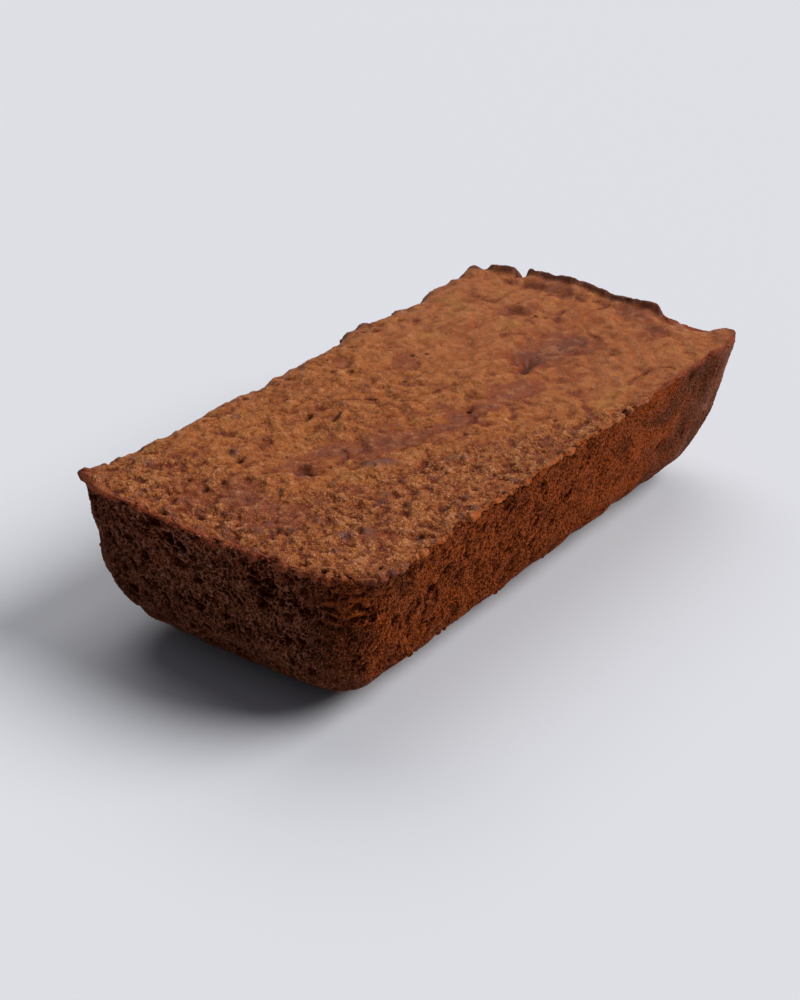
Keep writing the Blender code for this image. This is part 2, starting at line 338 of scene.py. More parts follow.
# The lip of the top crust: how ragged it is, how many lip bands deep it reaches, what calms it.
LIP_RAGS = [(1.0, 6.5 * MM, 71.0), (0.7, 2.4 * MM, 73.0), (0.5, 1.2 * MM, 74.0)]
LIP_RAG_RISE = 0.5 * MM
LIP_UNEVEN = [(1.1, 4.5 * MM, 75.0), (0.8, 1.7 * MM, 77.0)]
LIP_FAR_CALM = 0.6
LIP_LEAST = 0.75
LIP_NEAR_END = 0.35
LIP_WRAP = 1.2
LIP_CORNER = 0.8
LIP_EAR = 1.8
LIP_CORNER_REACH = 0.010
LIP_BULGE = 0.5 * LIP_OVERHANG
LIP_CORNER_CALM = 0.6
LIP_TUCK_FROM = 0.66
FAR_RIM_CALM = 0.6
FOLD_CALM = 0.5

# The rim's darker edging, wider and fuller on the far half of the near side. On its near half the rim
# is paler and more orange instead, a painted highlight along that edge.
EDGING_FROM = 0.960
EDGING_TO = 0.995
EDGING_RAG = 0.014
EDGING_WIDER = 0.012
EDGING_COVER = 0.6
EDGING_FULLER = 0.3
NEAR_SIDE_BAND = (0.045, 0.054)
NEAR_HALF_PALER = 1.6
WRAP_PALER = 0.35

# How far past the runs and pieces the dark reaches; past the runs it is painted shade.
RUN_BURNT_REACH = 1.3
PIECE_BURNT_REACH = 0.9
BURNT_FULLNESS = 1.4
BURNT_LEVEL = 0.90
BURNT_GRAIN = [(0.45, 2.2 * MM, 87.0), (0.35, 0.9 * MM, 89.0)]

# Single features of the top: start, end, half width, rise (downwards where it is less than 0).
TOP_FEATURES = [
    ((-0.069, 0.0235), None, 0.0018, 0.001),
    ((-0.1032, 0.0078), None, 0.0012, -0.0009),
    ((-0.0904, 0.0364), None, 0.0011, -0.0008),
    ((-0.0927, 0.0448), None, 0.0013, -0.0009),
    ((-0.0385, 0.022), (-0.0345, 0.0222), 0.0008, -0.001),
    ((-0.033, 0.014), (-0.0285, 0.0145), 0.0008, -0.001),
    ((-0.0999, -0.0112), None, 0.0016, 0.0006),
    ((-0.0948, -0.0198), None, 0.0019, 0.0007),
    ((-0.088, -0.0325), (-0.0872, -0.034), 0.0019, 0.0007),
    ((-0.0829, -0.0375), None, 0.0017, 0.0006),
    ((-0.0505, -0.0138), (-0.0455, -0.016), 0.003, 0.001),
    ((-0.065, -0.0015), (-0.066, 0.0005), 0.0012, -0.0006),
    ((-0.0662, 0.0048), (-0.0655, 0.0055), 0.0014, 0.0008),
    ((-0.0674, -0.0032), None, 0.0013, 0.0008),
    ((-0.0716, 0.0196), (-0.0712, 0.0202), 0.0012, -0.0009),
    ((-0.06, -0.047), (-0.058, -0.0475), 0.001, -0.0008),
    ((-0.076, -0.0495), (-0.074, -0.05), 0.001, -0.0008),
    ((0.035, -0.013), (0.045, -0.009), 0.0012, -0.0009),
]

# Moister, purple patches of the crust, above 0, and drier, tan ones, below it: start, end, half width,
# change. Some are the crust's own colour; those along hollows and folds are painted shade, and one pale
# one on the edge of a dome is painted light.
TOP_PATCHES = [
    ((-0.057, 0.006), (-0.049, 0.001), 0.0065, 1.0),
    ((-0.042, -0.006), (-0.008, -0.017), 0.006, 1.2),
    ((-0.092, 0.019), (-0.086, -0.011), 0.0075, 1.5),
    ((-0.0505, -0.0138), (-0.0455, -0.016), 0.004, 1.0),
    ((-0.085, -0.039), (-0.072, -0.034), 0.0055, 0.8),
    ((0.018, 0.022), None, 0.008, 0.9),
    ((0.005, -0.019), (0.026, -0.022), 0.005, 0.9),
    ((0.036, -0.012), (0.049, -0.008), 0.0045, 1.0),
    ((0.052, -0.009), (0.065, -0.012), 0.0085, 1.5),
    ((-0.07, 0.005), (-0.064, -0.003), 0.0045, 1.2),
    ((-0.098, -0.006), (-0.09, -0.022), 0.005, 0.8),
    ((0.082, -0.01), None, 0.007, 0.7),
    ((0.088, -0.034), (0.096, -0.028), 0.0055, 0.9),
    ((0.1035, 0.033), (0.1035, -0.02), 0.005, 0.9),
    ((-0.098, 0.038), (-0.085, 0.044), 0.007, -0.9),
    ((-0.061, 0.015), (-0.044, 0.012), 0.005, -1.0),
    ((-0.0375, 0.0095), (-0.035, 0.01), 0.0032, -1.5),
    ((-0.061, -0.013), (-0.057, -0.015), 0.004, -1.1),
    ((-0.018, -0.006), (-0.011, -0.0145), 0.0028, -1.6),
    ((-0.021, -0.048), (-0.019, -0.047), 0.0045, -1.0),
    ((0.06, 0.011), (0.062, 0.009), 0.0034, -1.4),
    ((0.028, -0.046), (0.046, -0.047), 0.003, -1.1),
    ((0.01, 0.04), (0.08, 0.035), 0.012, -0.4),
]


def run_distance(x, y, start, end):
    """How far a place lies from the straight run between two others, or from a single one."""
    end = end or start
    run_x, run_y = end[0] - start[0], end[1] - start[1]
    length = run_x**2 + run_y**2
    along = ((x - start[0]) * run_x + (y - start[1]) * run_y) / length if length else 0.0
    along = np.clip(along, 0.0, 1.0)
    return np.hypot(x - start[0] - along * run_x, y - start[1] - along * run_y)


def swell(distance, reach):
    """1 where the distance is nothing, fading softly to 0 past the reach."""
    return np.exp(-((distance / reach) ** 2))


def near_run(x, y, start, end, reach):
    """1 on the straight run between two places, fading softly to 0 past the reach."""
    return swell(run_distance(x, y, start, end), reach)


def near_place(x, y, place, reach):
    return near_run(x, y, place, None, reach)


def ramp(value, low, high):
    """0 up to low, 1 from high on, and a soft rise between."""
    share = np.clip((value - low) / (high - low), 0.0, 1.0)
    return share * share * (3 - 2 * share)


def grain(x, y, z, span, shift):
    """Smooth unevenness between -1 and 1, whose lumps are about a span wide. The shift tells one
    field from another."""
    places = zip(x / span, y / span, z / span, strict=True)
    return np.array([noise.noise(Vector(place) + Vector((shift, 0.0, 0.0))) for place in places])


def layered(x, y, z, layers, start=0.0):
    """Grains laid over a start, each with its strength, span and shift."""
    for strength, span, shift in layers:
        start = start + strength * grain(x, y, z, span, shift)
    return start


def bubbles(x, y, z, span, shift):
    """Bubbles about a span wide: how far a place is from its bubble's middle and from its skin, in
    spans, and a number from 0 to 1 that belongs to the bubble."""
    middle, skin, lot = [], [], []
    for place in zip(x / span, y / span, z / span, strict=True):
        (first, second, *_), (centre, *_) = noise.voronoi(Vector(place) + Vector((shift, 0.0, 0.0)))
        middle.append(first)
        skin.append(second - first)
        lot.append(0.5 + 0.5 * noise.cell(centre * LOT_SCALE))
    return np.array(middle), np.array(skin), np.array(lot)


# ---------------- the loaf's form


def undercurve_inset(z, radius):
    """How far the curve into the base has gone in at height z."""
    below = np.clip(radius - z, 0.0, radius)
    return radius - np.sqrt(radius**2 - below**2)


def section_place(u, v, z):
    """Where the grid place (u, v), each from -1 to 1, lies in the loaf's section at height z."""
    end_curve = undercurve_inset(z, END_UNDERCURVE)
    side_curve = undercurve_inset(z, SIDE_UNDERCURVE)
    half_length = RIM_LENGTH / 2 - (RIM_HEIGHT - z) * math.tan(END_SLOPE) - end_curve
    half_width = RIM_WIDTH / 2 - (RIM_HEIGHT - z) * math.tan(SIDE_SLOPE) - side_curve
    radius = BASE_CORNER + (RIM_CORNER - BASE_CORNER) * z / RIM_HEIGHT
    radius -= CORNER_TUCK * (end_curve + side_curve)
    radius -= CORNER_FULLNESS * 4 * np.clip(z / RIM_HEIGHT * (1 - z / RIM_HEIGHT), 0.0, 1.0)
    x, y = half_length * u, half_width * v
    core_x, core_y = half_length - radius, half_width - radius
    p = np.clip((np.abs(x) - core_x) / radius, 0.0, 1.0)
    q = np.clip((np.abs(y) - core_y) / radius, 0.0, 1.0)
    round_x = np.minimum(np.abs(x), core_x) + radius * p * np.sqrt(1 - q**2 / 2)
    round_y = np.minimum(np.abs(y), core_y) + radius * q * np.sqrt(1 - p**2 / 2)
    bow = END_BOW * (1 - v**2) * np.abs(u) ** 3
    return np.sign(x) * (round_x + bow), np.sign(y) * round_y


def crack_distance(x, y):
    runs = zip(CRACK[:-1], CRACK[1:], strict=True)
    return np.min([run_distance(x, y, start, end) for start, end in runs], axis=0)


def top_height(x, y):
    """The height of the top crust over a place of the plan."""
    half_length, half_width = RIM_LENGTH / 2, RIM_WIDTH / 2
    crown = (1 - (x / half_length) ** 2) * (1 - (y / half_width) ** 2)
    z = RIM_HEIGHT + CROWN * np.clip(crown, 0.0, 1.0)
    z -= FAR_SHOULDER_DROP * np.clip(1 - (half_width - y) / FAR_SHOULDER_REACH, 0.0, 1.0) ** 2
    z -= FAR_END_DROP * np.clip(1 - (half_length - x) / FAR_END_REACH, 0.0, 1.0)
    z -= NEAR_END_SAG * near_place(x, y, NEAR_END_SAG_PLACE, NEAR_END_SAG_REACH)
    z += NEAR_SIDE_RIDGE * swell(y + half_width, NEAR_SIDE_RIDGE_WIDTH)
    for start, end, reach, rise, *_ in [*CRUST_RUNS.values(), *MOUNDS.values()]:
        z += rise * near_run(x, y, start, end, reach)
    for start, end, reach, depth in HOLLOWS.values():
        z -= depth * near_run(x, y, start, end, reach)
    for place, reach, rise, *_ in RIM_PIECES.values():
        z += rise * near_place(x, y, place, reach)
    crack = crack_distance(x, y)
    z += CRACK_RISE * swell(crack, CRACK_SHOULDER) - CRACK_DEPTH * swell(crack, CRACK_WIDTH)
    flat = np.zeros_like(x)
    z += SWELL_HEIGHT * grain(x, y, flat, SWELL_SPAN, 3.0)
    z += RIPPLE_HEIGHT * grain(x, y, flat, RIPPLE_SPAN, 7.0)
    return z


def ear_push(x, y, depth):
    """How far the rim's pieces push the wall outwards, this deep below the top."""
    push = np.zeros_like(x)
    for place, reach, rise, out, _ in RIM_PIECES.values():
        push += out * near_place(x, y, place, reach) * swell(depth, rise + reach)
    return push


def wall_relief(x, y, z):
    """The lumps, wrinkles and holes of the walls, outwards from the smooth wall."""
    relief = WALL_LUMP_HEIGHT * grain(x, y, z, WALL_LUMP_SPAN, 11.0)
    above = np.clip((z - WRINKLE_FROM) / WRINKLE_SPACING, 0.0, 1.0)
    below = np.clip((WRINKLE_TO - z) / WRINKLE_SPACING, 0.0, 1.0)
    corner = near_place(x, y, WRINKLE_PLACE, WRINKLE_REACH)
    wave = np.cos(2 * math.pi * (z - WRINKLE_FROM) / WRINKLE_SPACING)
    relief -= WRINKLE_DEPTH * corner * above * below * (0.5 - 0.5 * wave)
    for (hole_y, hole_z), reach, depth in WALL_HOLES:
        hole = swell(np.hypot(y - hole_y, z - hole_z), reach)
        relief -= depth * hole * (x < -RIM_LENGTH / 4)
    return relief * np.clip(z / CALM_FOOT, 0.0, 1.0)


def pushed_out(x, y, push):
    """The place (x, y) moved outwards from the loaf's core."""
    core_x = np.clip(x, RIM_CORNER - RIM_LENGTH / 2, RIM_LENGTH / 2 - RIM_CORNER)
    core_y = np.clip(y, RIM_CORNER - RIM_WIDTH / 2, RIM_WIDTH / 2 - RIM_CORNER)
    out_x, out_y = x - core_x, y - core_y
    size = np.maximum(np.hypot(out_x, out_y), 1e-9)
    return x + out_x / size * push, y + out_y / size * push


def wall_place(u, v, level):
    """A place on the walls, where level is its height on a rim of even height. It gives x, y, z
    and the depth below the rim."""
    rim_x, rim_y = section_place(u, v, np.full_like(u, RIM_HEIGHT))
    edge = top_height(rim_x, rim_y)
    z = edge * level / RIM_HEIGHT
    x, y = section_place(u, v, z)
    x, y = pushed_out(x, y, ear_push(rim_x, rim_y, edge - z) + wall_relief(x, y, z))
    return x, y, z, edge - z


# ---------------- making pieces


def grid_form(columns, rows):
    """A flat grid of smooth faces from (0, 0) to (1, 1)."""
    form = bmesh.new()
    bmesh.ops.create_grid(form, x_segments=columns, y_segments=rows, size=0.5)
    bmesh.ops.translate(form, verts=form.verts, vec=(0.5, 0.5, 0.0))
    for face in form.faces:
        face.smooth = True
    return form


def seam_sink(past):
    """How deep a piece lies under its neighbour, this far past the line where they meet."""
    return SEAM_SINK * np.clip(past / SEAM_LAP, 0.0, 1.0)


def of_kind(items, kind):
    return [item for item in items if isinstance(item, kind)]


def close_to_point(form):
    """Closes an open grid with a fan from its border to one point, which carries the flag."""
    border = [edge for edge in form.edges if edge.is_boundary]
    for edge in border:
        edge.smooth = False
    made = bmesh.ops.extrude_edge_only(form, edges=border)["geom"]
    for face in of_kind(made, bmesh.types.BMFace):
        face.smooth = False
    bmesh.ops.pointmerge(form, verts=of_kind(made, bmesh.types.BMVert), merge_co=(0.0, 0.0, INNER_FLAG))


def mesh_of(form, name):
    mesh = bpy.data.meshes.new(name)
    form.to_mesh(mesh)
    form.free()
    return mesh


def places_of(mesh):
    flat = np.empty(len(mesh.vertices) * 3)
    mesh.vertices.foreach_get("co", flat)
    return flat.reshape(-1, 3)


def set_places(mesh, places):
    mesh.vertices.foreach_set("co", places.ravel())
    mesh.update()


def normals_of(mesh):
    flat = np.empty(len(mesh.vertices) * 3)
    mesh.vertex_normals.foreach_get("vector", flat)
    return flat.reshape(-1, 3)


def store(mesh, **values):
    """Keeps numbers for each vertex, for the materials to read."""
    for name, numbers in values.items():
        layer = mesh.attributes.new(name, "FLOAT", "POINT")
        layer.data.foreach_set("value", numbers.astype(np.float32))


def finish_piece(mesh, name, material):
    form = bmesh.new()
    form.from_mesh(mesh)
    if form.calc_volume(signed=True) < 0:
        bmesh.ops.reverse_faces(form, faces=form.faces)
    form.to_mesh(mesh)
    form.free()
    mesh.materials.append(material)
    piece = bpy.data.objects.new(name, mesh)
    bpy.context.scene.collection.objects.link(piece)
    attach(piece, "root")
    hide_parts("loaf")
    return piece


# ---------------- the crumb of the walls


def crumb_relief(x, y, z):
    """The open crumb where the loaf stood against the tin: how far it lies below the wall's surface,
    and from 0 to 1 how much painted shade it gets deep in a bubble and how much painted light near a
    bubble's skin."""
    side = ramp(np.abs(y), 0.035, 0.045)
    near_end = ramp(-x, *NEAR_END_BAND)
    stray = BUBBLE_STRAY * grain(x, y, z, BUBBLE_STRAY_SPAN, 21.0)
    leant = x - side * BUBBLE_LEAN * z + stray
    fanned = y - near_end * END_LEAN * ramp(y, -0.045, 0.050) * z
    tall = z + BUBBLE_STRAY * grain(x, y, z, BUBBLE_STRAY_SPAN, 23.0)
    tall = tall / (BUBBLE_STRETCH + SIDE_STRETCH * side * (1 - near_end))
    rag = grain(x, y, z, RAG_SPAN, 41.0)
    _, skin, lot = bubbles(leant, fanned, tall, BUBBLE_SPAN, 31.0)
    _, cave_skin, cave_lot = bubbles(leant, fanned, tall, CAVE_SPAN, 35.0)
    caves_here = cave_lot < CAVE_SHARE + NEAR_END_CAVES * near_end
    cave = ramp(cave_skin + CAVE_RAG * rag, 0.05, 0.40) * caves_here
    torn = ramp(grain(x, y, tall, TORN_SPAN, 37.0), 0.15, 0.45)
    open_crumb = ramp(grain(x, y, z, OPEN_SPAN, 39.0), -0.35, 0.30)
    pore = ramp(skin + BUBBLE_RAG * rag, 0.04, 0.24) * ramp(lot, -0.25, 0.75)
    pore = pore * (CLOSE_DEPTH + OPEN_DEPTH * open_crumb)
    calm = 1 - LEDGE_CALM * near_place(x, y, LEDGE_PLACE, LEDGE_REACH)
    calm -= FAR_CALM * ramp(x, -0.010, 0.060)
    depth = calm * (BUBBLE_DEPTH * pore + CAVE_DEPTH * cave + TORN_DEPTH * torn) - RAG_HEIGHT * rag
    pit = calm * (BUBBLE_PIT * pore + CAVE_PIT * cave + TORN_PIT * torn) - RAG_PIT * rag
    pit = np.clip(pit, 0.0, 1.0)
    ridge = (1 - ramp(skin, 0.04, 0.18)) * (1 - RIDGE_CAVES * cave)
    ridge = ridge * (RIDGE_LEAST + NEAR_END_RIDGES * near_end)
    return depth, pit, calm * ridge


def ledges(x, y, z):
    """How far the small ledges below the near corner sink, where the crust slid on the tin, and
    the share of a groove or, below 0, of a ledge there."""
    corner = near_place(x, y, LEDGE_PLACE, LEDGE_REACH)
    band = swell(z - LEDGE_MIDDLE, LEDGE_HALF_HEIGHT)
    bent = layered(x, y, z, LEDGE_BENDS, z)
    broken = ramp(grain(x, y, z, LEDGE_BREAK_SPAN, 46.0), -0.45, 0.10)
    wave = np.sin(2 * math.pi * bent / LEDGE_SPACING)
    share = corner * band * broken
    return LEDGE_DEPTH * share * (0.5 + 0.5 * wave) ** LEDGE_SHARPNESS, share * wave


def crumb_warmth(x, y, z):
    """How orange and how little darkened the crumb is: most on the near side and least on the near end.
    """
    warm = WARMTH + WARMTH_CHANGE * grain(x, y, z, WARMTH_SPAN, 47.0)
    line_from, line_to = COOL_LINE
    past_line = ramp(y, line_from, line_to + COOL_SLANT * (z - COOL_LEVEL))
    warm -= END_COOL * ramp(-x, 0.094, 0.106) * past_line
    warm -= FAR_COOL * ramp(x, 0.015, 0.085)
    warm -= LEDGE_COOL * near_place(x, y, LEDGE_PLACE, LEDGE_COOL_REACH)
    return np.clip(warm, 0.0, 1.0)


def loop_place(distance):
    """The grid place (u, v) this far along the rim."""
    turns = np.cumsum([0.0, RIM_WIDTH, RIM_LENGTH, RIM_WIDTH, RIM_LENGTH])
    along = np.mod(distance, turns[-1])
    return np.interp(along, turns, [-1, -1, 1, 1, -1]), np.interp(along, turns, [1, -1, -1, 1, 1])


def wall_level(share):
    """The level of a wall row, from the base (0) up to inside the lip (1)."""
    top = RIM_HEIGHT - WALL_TOP_DROP
    angle = np.clip(share / UNDERCURVE_ROWS, 0.0, 1.0) * math.pi / 2
    curve = END_UNDERCURVE * (1 - np.cos(angle))
    straight = np.clip((share - UNDERCURVE_ROWS) / (1 - UNDERCURVE_ROWS), 0.0, 1.0)
    return curve + (top - END_UNDERCURVE) * straight


def crumb_wall(name, start, end, columns, rows, material):
    """One wall piece: a grid bent round the loaf between two places on the rim, from inside the
    lip to the base, sunk into bubbles, and closed to a point inside the loaf."""
    form = grid_form(columns, rows)
    close_to_point(form)
    mesh = mesh_of(form, name)
    grid = places_of(mesh)
    inner = grid[:, 2] == INNER_FLAG
    along = start - SEAM_LAP + (end - start + 2 * SEAM_LAP) * grid[:, 0]
    lap = seam_sink(np.maximum(start - along, along - end))
    u, v = loop_place(along)
    x, y, z, depth = wall_place(u, v, wall_level(grid[:, 1]))
    under_lip = 1 - ramp(depth, *UNDER_LIP_BAND)
    ledge, groove = ledges(x, y, z)
    x, y = pushed_out(x, y, -WALL_TUCK * under_lip - ledge - lap)
    z = z + lap * np.clip(1 - z / END_UNDERCURVE, 0.0, 1.0)
    set_places(mesh, np.column_stack([x, y, z]))

    normals = normals_of(mesh)
    sunk, pit, ridge = crumb_relief(x, y, z)
    sunk = sunk * ramp(z, 0.0, CALM_BASE)
    places = np.column_stack([x, y, z]) - normals * sunk[:, None]
    places[:, 2] = np.maximum(places[:, 2], 0.0)
    places[inner] = INNER_PLACE
    set_places(mesh, places)
    # Painted shade in the grooves between the ledges.
    pit = np.maximum(pit, GROOVE_PIT * groove)
    darker = BELOW_RIM_LEAST + BELOW_RIM_NEAR_END * ramp(-x, *NEAR_END_BAND)
    below_rim = 1 - (1 - np.clip(depth / RIM_HEIGHT, 0.0, 1.0)) * darker
    far = ramp(x, *GREY_BAND) * (1 - GREY_CALM * ramp(y, -0.045, -0.025))
    store(mesh, pit=pit, ridge=ridge, below_rim=below_rim, warm=crumb_warmth(x, y, z), far=far)
    store(mesh, ledge=np.clip(-groove, 0.0, 1.0))
    return finish_piece(mesh, name, material)


def clinging_crumbs(name, material):
    """Loose crumbs that cling to the walls low on the near side and by the far corner."""
    form = bmesh.new()
    spots = []
    for distance, level, radius in CLINGING_CRUMBS:
        u, v = loop_place(np.array([distance]))
        spot = [float(number[0]) for number in wall_place(u, v, np.array([level]))[:3]]
        place = Matrix.Translation(spot)
        made = bmesh.ops.create_icosphere(form, subdivisions=3, radius=radius, matrix=place)
        spots += [(*spot, radius)] * len(made["verts"])
    for face in form.faces:
        face.smooth = True
    mesh = mesh_of(form, name)
    places = places_of(mesh)
    middles, radii = np.array(spots)[:, :3], np.array(spots)[:, 3]
    uneven = layered(*places.T, CLINGING_GRAIN, 1.0)
    places = middles + (places - middles) * uneven[:, None]
    places[:, 2] = np.maximum(places[:, 2], 0.0)
    set_places(mesh, places)
    none, full = np.zeros_like(radii), np.ones_like(radii)
    store(mesh, pit=none, ridge=none, below_rim=full, warm=CLINGING_WARMTH * full, far=none, ledge=none)
    return finish_piece(mesh, name, material)


def crumb_walls(material):
    names = list(WALL_PIECES)
    first = WALL_PIECES[names[0]][0] + 2 * (RIM_LENGTH + RIM_WIDTH)
    ends = [WALL_PIECES[name][0] for name in names[1:]] + [first]
    for (name, (start, columns, rows)), end in zip(WALL_PIECES.items(), ends, strict=True):
        crumb_wall(name, start, end, columns, rows, material)


def base_crumb(name, material):
    """The flat face that the loaf rests on, with its bubbles sunk into it."""
    form = grid_form(BASE_COLUMNS, BASE_ROWS)
    close_to_point(form)
    mesh = mesh_of(form, name)
    grid = places_of(mesh)
    inner = grid[:, 2] == INNER_FLAG
    u, v = 2 * grid[:, 0] - 1, 2 * grid[:, 1] - 1
    x, y = section_place(u, v, np.zeros_like(u))
    sunk, pit, ridge = crumb_relief(x, y, np.zeros_like(u))
    sunk = np.maximum(sunk, 0.0) * (1 - ramp(rim_share(u, v), BASE_EDGE, 1.0))
    places = np.column_stack([x, y, sunk])
    places[inner] = INNER_PLACE
    set_places(mesh, places)
    none, full = np.zeros_like(u), np.ones_like(u)
    store(mesh, pit=pit, ridge=ridge, below_rim=full, warm=crumb_warmth(x, y, sunk), far=none)
    store(mesh, ledge=none)
    return finish_piece(mesh, name, material)


# ---------------- the top crust


def rubble_share(x, y):
    """Where the top is crumbly: towards the near end, and along the near side as far as its
    middle. Elsewhere it is smoother, and smoothest towards the far end."""
    near_end = ramp(-x, 0.045, 0.098)
    near_side = ramp(-y - RUBBLE_SLANT * (x + RUBBLE_FROM), 0.012, 0.030)
    least = RUBBLE_LEAST + RUBBLE_HALF * ramp(-x, -0.05, 0.03)
    return np.maximum(least, np.maximum(near_end, near_side))


def crumbled(x, y, bent, span, band, least, soft_span, shifts):
    """Crumbs about a span wide, from below 0 in their gaps to above it. The bent places shape
    them, and a soft grain makes them uneven."""
    flat = np.zeros_like(x)
    _, skin, lot = bubbles(*bent, flat, span, shifts[0])
    crumbs = ramp(skin, *band) * (least + (1 - least) * lot) - CRUMBLE_MIDDLE
    soft = grain(x, y, flat, soft_span, shifts[1])
    return CRUMBLE_STRENGTH * crumbs + CRUMBLE_STRENGTH * soft


def scattered(x, y, span, band, share, shift):
    """Round spots in a share of the bubbles of this span: 1 in their middles and 0 past them."""
    middle, _, lot = bubbles(x, y, np.zeros_like(x), span, shift)
    return ramp(-middle, *band) * (lot < share)


def top_relief(x, y, on_rim, damp):
    """The creases, crumbs, lumps and pits of the top crust, which is smoother where it is moist:
    its rise and the numbers that its material reads."""
    flat = np.zeros_like(x)
    rubble = rubble_share(x, y) * (1 - RUBBLE_CALM * ramp(damp, 0.3, 1.3))
    curd = grain(x, y, flat, CURD_SPAN, 51.0)
    fold = np.abs(grain(x + CREASE_BEND * curd, y, flat, CREASE_SPAN, 53.0))
    broken = ramp(grain(x, y, flat, 0.7 * CREASE_SPAN, 55.0), 0.05, 0.35)
    crease = ramp(-fold, -CREASE_WIDTH, 0.0) * broken
    grit = grain(x, y, flat, GRIT_SPAN, 57.0)
    bent = x + CRUMB_BEND * grit, y
    soft_span = 0.8 * CRUMB_SPAN
    crumb = crumbled(x, y, bent, CRUMB_SPAN, CRUMB_BAND, CRUMB_LEAST, soft_span, (63.0, 59.0))
    bent = x + CLUMP_BEND * curd, y + GRIT_SPAN * grit
    soft_span = 0.7 * CLUMP_SPAN
    clump = crumbled(x, y, bent, CLUMP_SPAN, CLUMP_BAND, CLUMP_LEAST, soft_span, (65.0, 66.0))
    bent_x = x + SPOT_BEND * curd
    pit_share = TOP_PIT_SHARE * rubble + RIM_PIT_SHARE * on_rim
    pit = scattered(bent_x, y, TOP_PIT_SPAN, TOP_PIT_BAND, pit_share, 61.0)
    lump_share = LUMP_SHARE * ramp(rubble, 0.40, 0.95)
    lump = LUMP_FULLNESS * scattered(bent_x, y, LUMP_SPAN, LUMP_BAND, lump_share, 67.0)

    rise = CURD_HEIGHT * curd + LUMP_RISE * lump - CREASE_DEPTH * crease - TOP_PIT_DEPTH * pit
    rise += rubble * (1 - lump) * (CRUMB_HEIGHT * crumb + GRIT_HEIGHT * grit)
    rise += CLUMP_HEIGHT * rubble * clump
    for start, end, reach, high in TOP_FEATURES:
        near = near_run(x, y, start, end, reach)
        rise += high * near
        # Sunk features get painted shade as pits, and raised ones get the lumps' colour.
        if high < 0:
            pit = np.maximum(pit, near)
        else:
            lump = np.maximum(lump, near)
    # The raised crumbs, grit, clumps and swells are painted paler and the creases darker: painted light
    # and painted shade on the relief, mixed with each crumb's own tone.
    tone = EVEN_TONE + rubble * (CRUMB_TONE * crumb + GRIT_TONE * grit + CLUMP_TONE * clump)
    tone += CURD_TONE * curd - CREASE_TONE * crease
    return rise, pit, lump, tone, rubble


def moisture(x, y):
    """How moist and purple, above 0, or dry and tan, below it, the crust is. Along the crack and in the
    hollows the purple is painted shade.
    """
    damp = layered(x, y, np.zeros_like(x), DAPPLES)
    damp += CRACK_DAMP * swell(crack_distance(x, y), CRACK_WIDTH)
    for start, end, reach, depth in HOLLOWS.values():
        damp += depth / DAMP_HOLLOW * near_run(x, y, start, end, DAMP_REACH * reach)
    for start, end, reach, change in TOP_PATCHES:
        damp += change * near_run(x, y, start, end, reach)
    return damp


def rim_share(u, v):
    return np.maximum(np.abs(u), np.abs(v))


def burnt_share(x, y):
    """How dark the raised runs and pieces of crust have baked at a place, with painted shade where the
    dark reaches past the runs.
    """
    nearness = []
    for start, end, reach, _, dark in CRUST_RUNS.values():
        nearness.append((dark, near_run(x, y, start, end, RUN_BURNT_REACH * reach)))
    for place, reach, _, _, dark in RIM_PIECES.values():
        nearness.append((dark, near_place(x, y, place, PIECE_BURNT_REACH * reach)))
    share = np.zeros_like(x)
    for dark, near in nearness:
        share = np.maximum(share, dark * np.clip(BURNT_FULLNESS * near, 0.0, 1.0))
    uneven = layered(x, y, np.zeros_like(x), BURNT_GRAIN)
    return share * np.clip(BURNT_LEVEL + uneven, 0.0, 1.0)


def rim_tone(rim_x, rim_y, out, ragged, folded, wrap):
    """How dark the rim's crust is. Below 0 it is paler and more orange than the rest: a painted
    highlight along the near half of the near side.
    """
    near_side = ramp(-rim_y, *NEAR_SIDE_BAND)
    far_half = near_side * ramp(rim_x, 0.0, 0.060)
    edging = ramp(out + EDGING_RAG * ragged, EDGING_FROM - EDGING_WIDER * far_half, EDGING_TO)
    edging *= EDGING_COVER + EDGING_FULLER * far_half
    near_half = near_side * ramp(rim_x, -0.100, -0.085) * ramp(-rim_x, -0.060, 0.0)
    paler = 1 - NEAR_HALF_PALER * near_half
    return np.maximum(edging, folded) * paler * (1 - WRAP_PALER * wrap)


def crust_grid(name, side):
    """A grid of half the top, with the rings of its lip below the three sides that aren't at the
    seam between the halves."""
    form = grid_form(TOP_COLUMNS, TOP_ROWS)
    seam = 1.0 if side < 0 else 0.0
    ring = [edge for edge in form.edges if edge.is_boundary]
    ring = [edge for edge in ring if any(abs(vert.co.x - seam) > 1e-6 for vert in edge.verts)]
    for _ in range(LIP_RINGS):
        made = bmesh.ops.extrude_edge_only(form, edges=ring)["geom"]
        corners = set(of_kind(made, bmesh.types.BMVert))
        bmesh.ops.translate(form, verts=list(corners), vec=(0.0, 0.0, -1.0))
        ring = [edge for edge in of_kind(made, bmesh.types.BMEdge) if corners.issuperset(edge.verts)]
        for face in of_kind(made, bmesh.types.BMFace):
            face.smooth = True
    close_to_point(form)
    return mesh_of(form, name)


